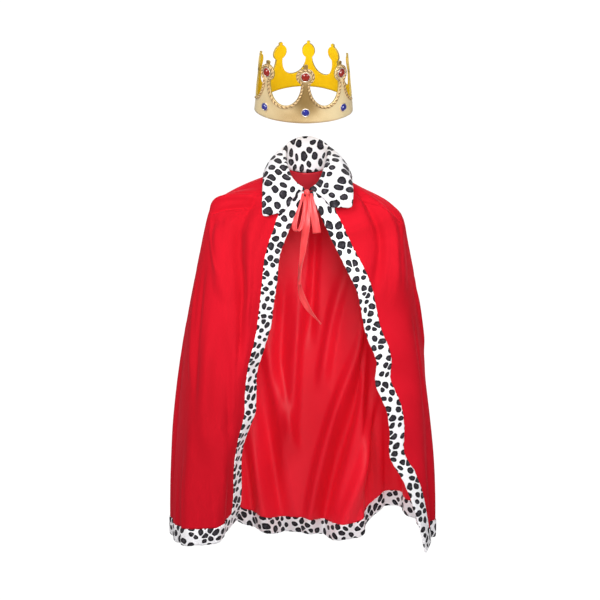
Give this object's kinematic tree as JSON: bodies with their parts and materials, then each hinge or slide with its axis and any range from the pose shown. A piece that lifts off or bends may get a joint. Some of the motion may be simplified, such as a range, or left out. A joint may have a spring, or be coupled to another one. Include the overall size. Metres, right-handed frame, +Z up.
{
  "type": "king costume",
  "caption": "Open-fronted flared cape with a spotted plush collar and edging, tied by a ribbon bow at the neck, and a soft round crown with spiked scallops, in the hollow form worn.",
  "frame": {"origin": "middle of the cape's neckline, where the wearer's neck carries it, about level with the top of the bow", "axes": "+Z up along the wearer's neck, +Y towards the wearer's back, so the open front faces -Y, +X to the side of the wearer's left hand"},
  "size_m": [0.5092, 0.2536, 0.974],
  "materials": {
    "velvet": "deep red short-pile velvet outside, smooth red satin back inside",
    "plush": "white short-pile plush with irregular black spots",
    "ribbon": "coral red satin ribbon",
    "gold_cloth": "gold metallic cloth outside, yellow felt inside",
    "gold_cord": "braided gold and brown cord",
    "red_gem": "faceted, glossy, translucent red acrylic",
    "blue_gem": "faceted, glossy, translucent blue acrylic"
  },
  "bodies": {
    "root": {"panel_left": "velvet", "panel_back": "velvet", "panel_right": "velvet", "hem_edging_left": "plush", "hem_edging_back": "plush", "hem_edging_right": "plush", "front_edging_left": "plush", "front_edging_right": "plush", "collar": "plush", "bow_loop_left": "ribbon", "bow_loop_right": "ribbon", "bow_tail_front": "ribbon", "bow_tail_back": "ribbon", "bow_knot": "ribbon", "crown_band": "gold_cloth", "crown_piping": "gold_cord", "ruby_left": "red_gem", "ruby_middle": "red_gem", "ruby_right": "red_gem", "sapphire_left": "blue_gem", "sapphire_middle": "blue_gem", "sapphire_right": "blue_gem"}
  },
  "joints": []
}
